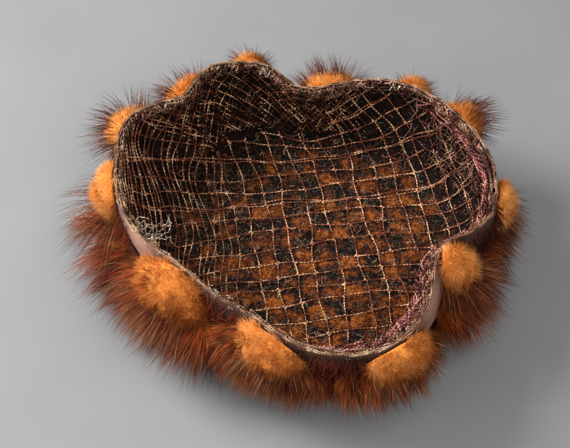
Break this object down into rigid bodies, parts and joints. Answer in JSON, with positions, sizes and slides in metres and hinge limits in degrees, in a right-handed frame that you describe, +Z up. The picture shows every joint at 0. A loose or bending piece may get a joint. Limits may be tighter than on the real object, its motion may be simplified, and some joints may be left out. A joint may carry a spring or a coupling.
{
  "type": "fur toque hat",
  "caption": "Soft fur toque lying crown down: puffs of fur round the rim, a row of darker tufts, a fur crown, a cloth side band and a coarse net lining in the open hollow.",
  "frame": {"origin": "middle of the hat's bounding box, at the table that its crown lies on", "axes": "+X right, +Y away from the viewer, +Z up out of the head opening"},
  "size_m": [0.2218, 0.2168, 0.0623],
  "materials": {
    "net": "twisted tan-brown thread",
    "hem": "gathered mauve net",
    "band": "matt mauve-taupe cloth",
    "crown": "dark brown fur",
    "puff": "dense orange-brown underfur",
    "guard": "dark reddish-brown guard hair"
  },
  "bodies": {
    "root": {"net_lining": "net", "net_hem": "hem", "side_band": "band", "crown_fur": "crown", "rim_tuft_01": "puff", "rim_tuft_02": "puff", "rim_tuft_03": "puff", "rim_tuft_04": "puff", "rim_tuft_05": "puff", "rim_tuft_06": "puff", "rim_tuft_07": "puff", "rim_tuft_08": "puff", "rim_tuft_09": "puff", "rim_tuft_10": "puff", "rim_tuft_11": "puff", "rim_tuft_12": "puff", "lower_tuft_01": "guard", "lower_tuft_02": "guard", "lower_tuft_03": "guard", "lower_tuft_04": "guard", "lower_tuft_05": "guard", "lower_tuft_06": "guard", "lower_tuft_07": "guard", "lower_tuft_08": "guard", "lower_tuft_09": "guard", "lower_tuft_10": "guard", "lower_tuft_11": "guard", "lower_tuft_12": "guard"}
  },
  "joints": []
}
